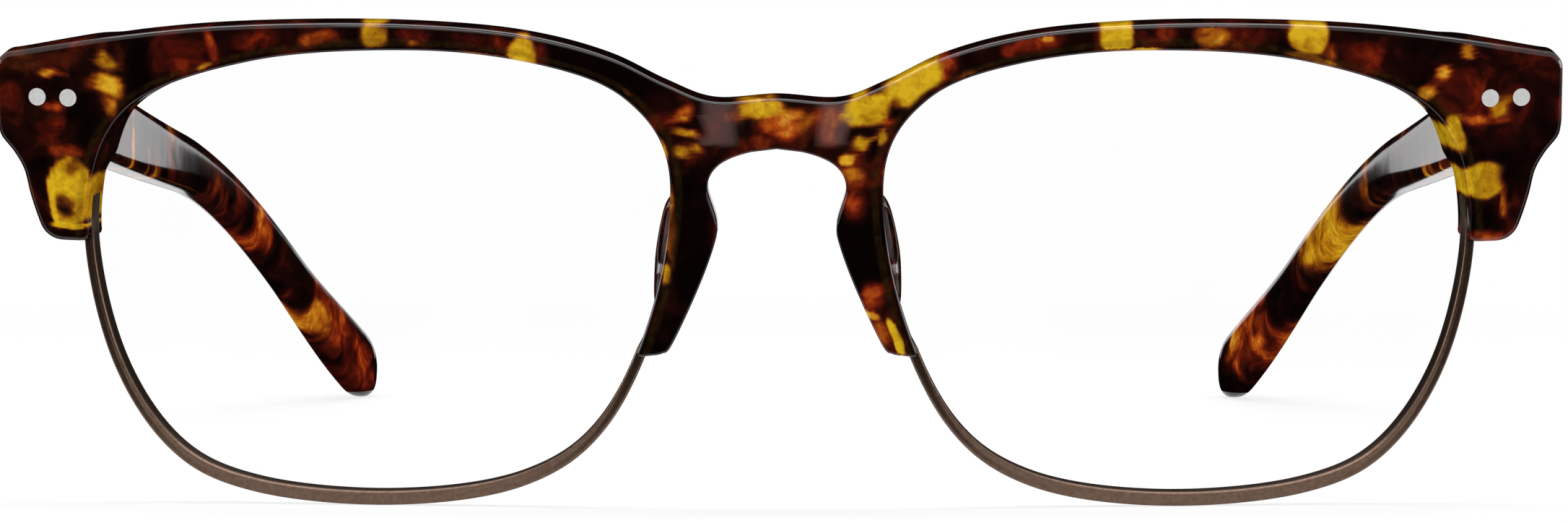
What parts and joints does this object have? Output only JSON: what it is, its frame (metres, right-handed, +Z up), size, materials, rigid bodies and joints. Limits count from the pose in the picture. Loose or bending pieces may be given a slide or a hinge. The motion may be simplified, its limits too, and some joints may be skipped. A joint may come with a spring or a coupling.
{
  "type": "browline eyeglasses",
  "caption": "Browline eyeglasses with a glossy acetate brow front, thin metal lower rims, clear lenses, nose pads and folding acetate temples on barrel hinges.",
  "frame": {"origin": "centre of the bounding box's bottom, where the open glasses rest on the rims and the temple tips", "axes": "+X to the right as seen from the front, +Y to the back along the temples, +Z up; the front faces -Y"},
  "size_m": [0.143, 0.1508, 0.0447],
  "materials": {
    "acetate": "polished tortoise acetate, dark brown with amber and red patches",
    "bronze_metal": "satin brown metal",
    "hinge_steel": "bright plain metal",
    "core_wire": "plain nickel silver wire inside the temple",
    "clear_lens": "clear polished lens"
  },
  "bodies": {
    "front": {"browline_front": "acetate", "nose_pad_left": "acetate", "nose_pad_right": "acetate", "eyewire_left": "bronze_metal", "eyewire_right": "bronze_metal", "hinge_front_left": "hinge_steel", "hinge_front_right": "hinge_steel", "hinge_screw_left": "hinge_steel", "hinge_screw_right": "hinge_steel", "front_rivets_left": "hinge_steel", "front_rivets_right": "hinge_steel", "eyewire_screws_left": "hinge_steel", "eyewire_screws_right": "hinge_steel", "lens_left": "clear_lens", "lens_right": "clear_lens"},
    "temple_left": {"temple_left": "acetate", "temple_core_left": "core_wire", "hinge_temple_left": "hinge_steel", "temple_rivets_left": "hinge_steel"},
    "temple_right": {"temple_right": "acetate", "temple_core_right": "core_wire", "hinge_temple_right": "hinge_steel", "temple_rivets_right": "hinge_steel"}
  },
  "joints": [
    {"name": "temple_fold_left", "type": "hinge", "parent": "front", "child": "temple_left", "pos_m": [-0.0652, -0.06089, 0.03816], "axis": [0, 0.1189, -0.9929], "range_deg": [0, 78]},
    {"name": "temple_fold_right", "type": "hinge", "parent": "front", "child": "temple_right", "pos_m": [0.0652, -0.06089, 0.03816], "axis": [0, -0.1189, 0.9929], "range_deg": [0, 85]}
  ]
}
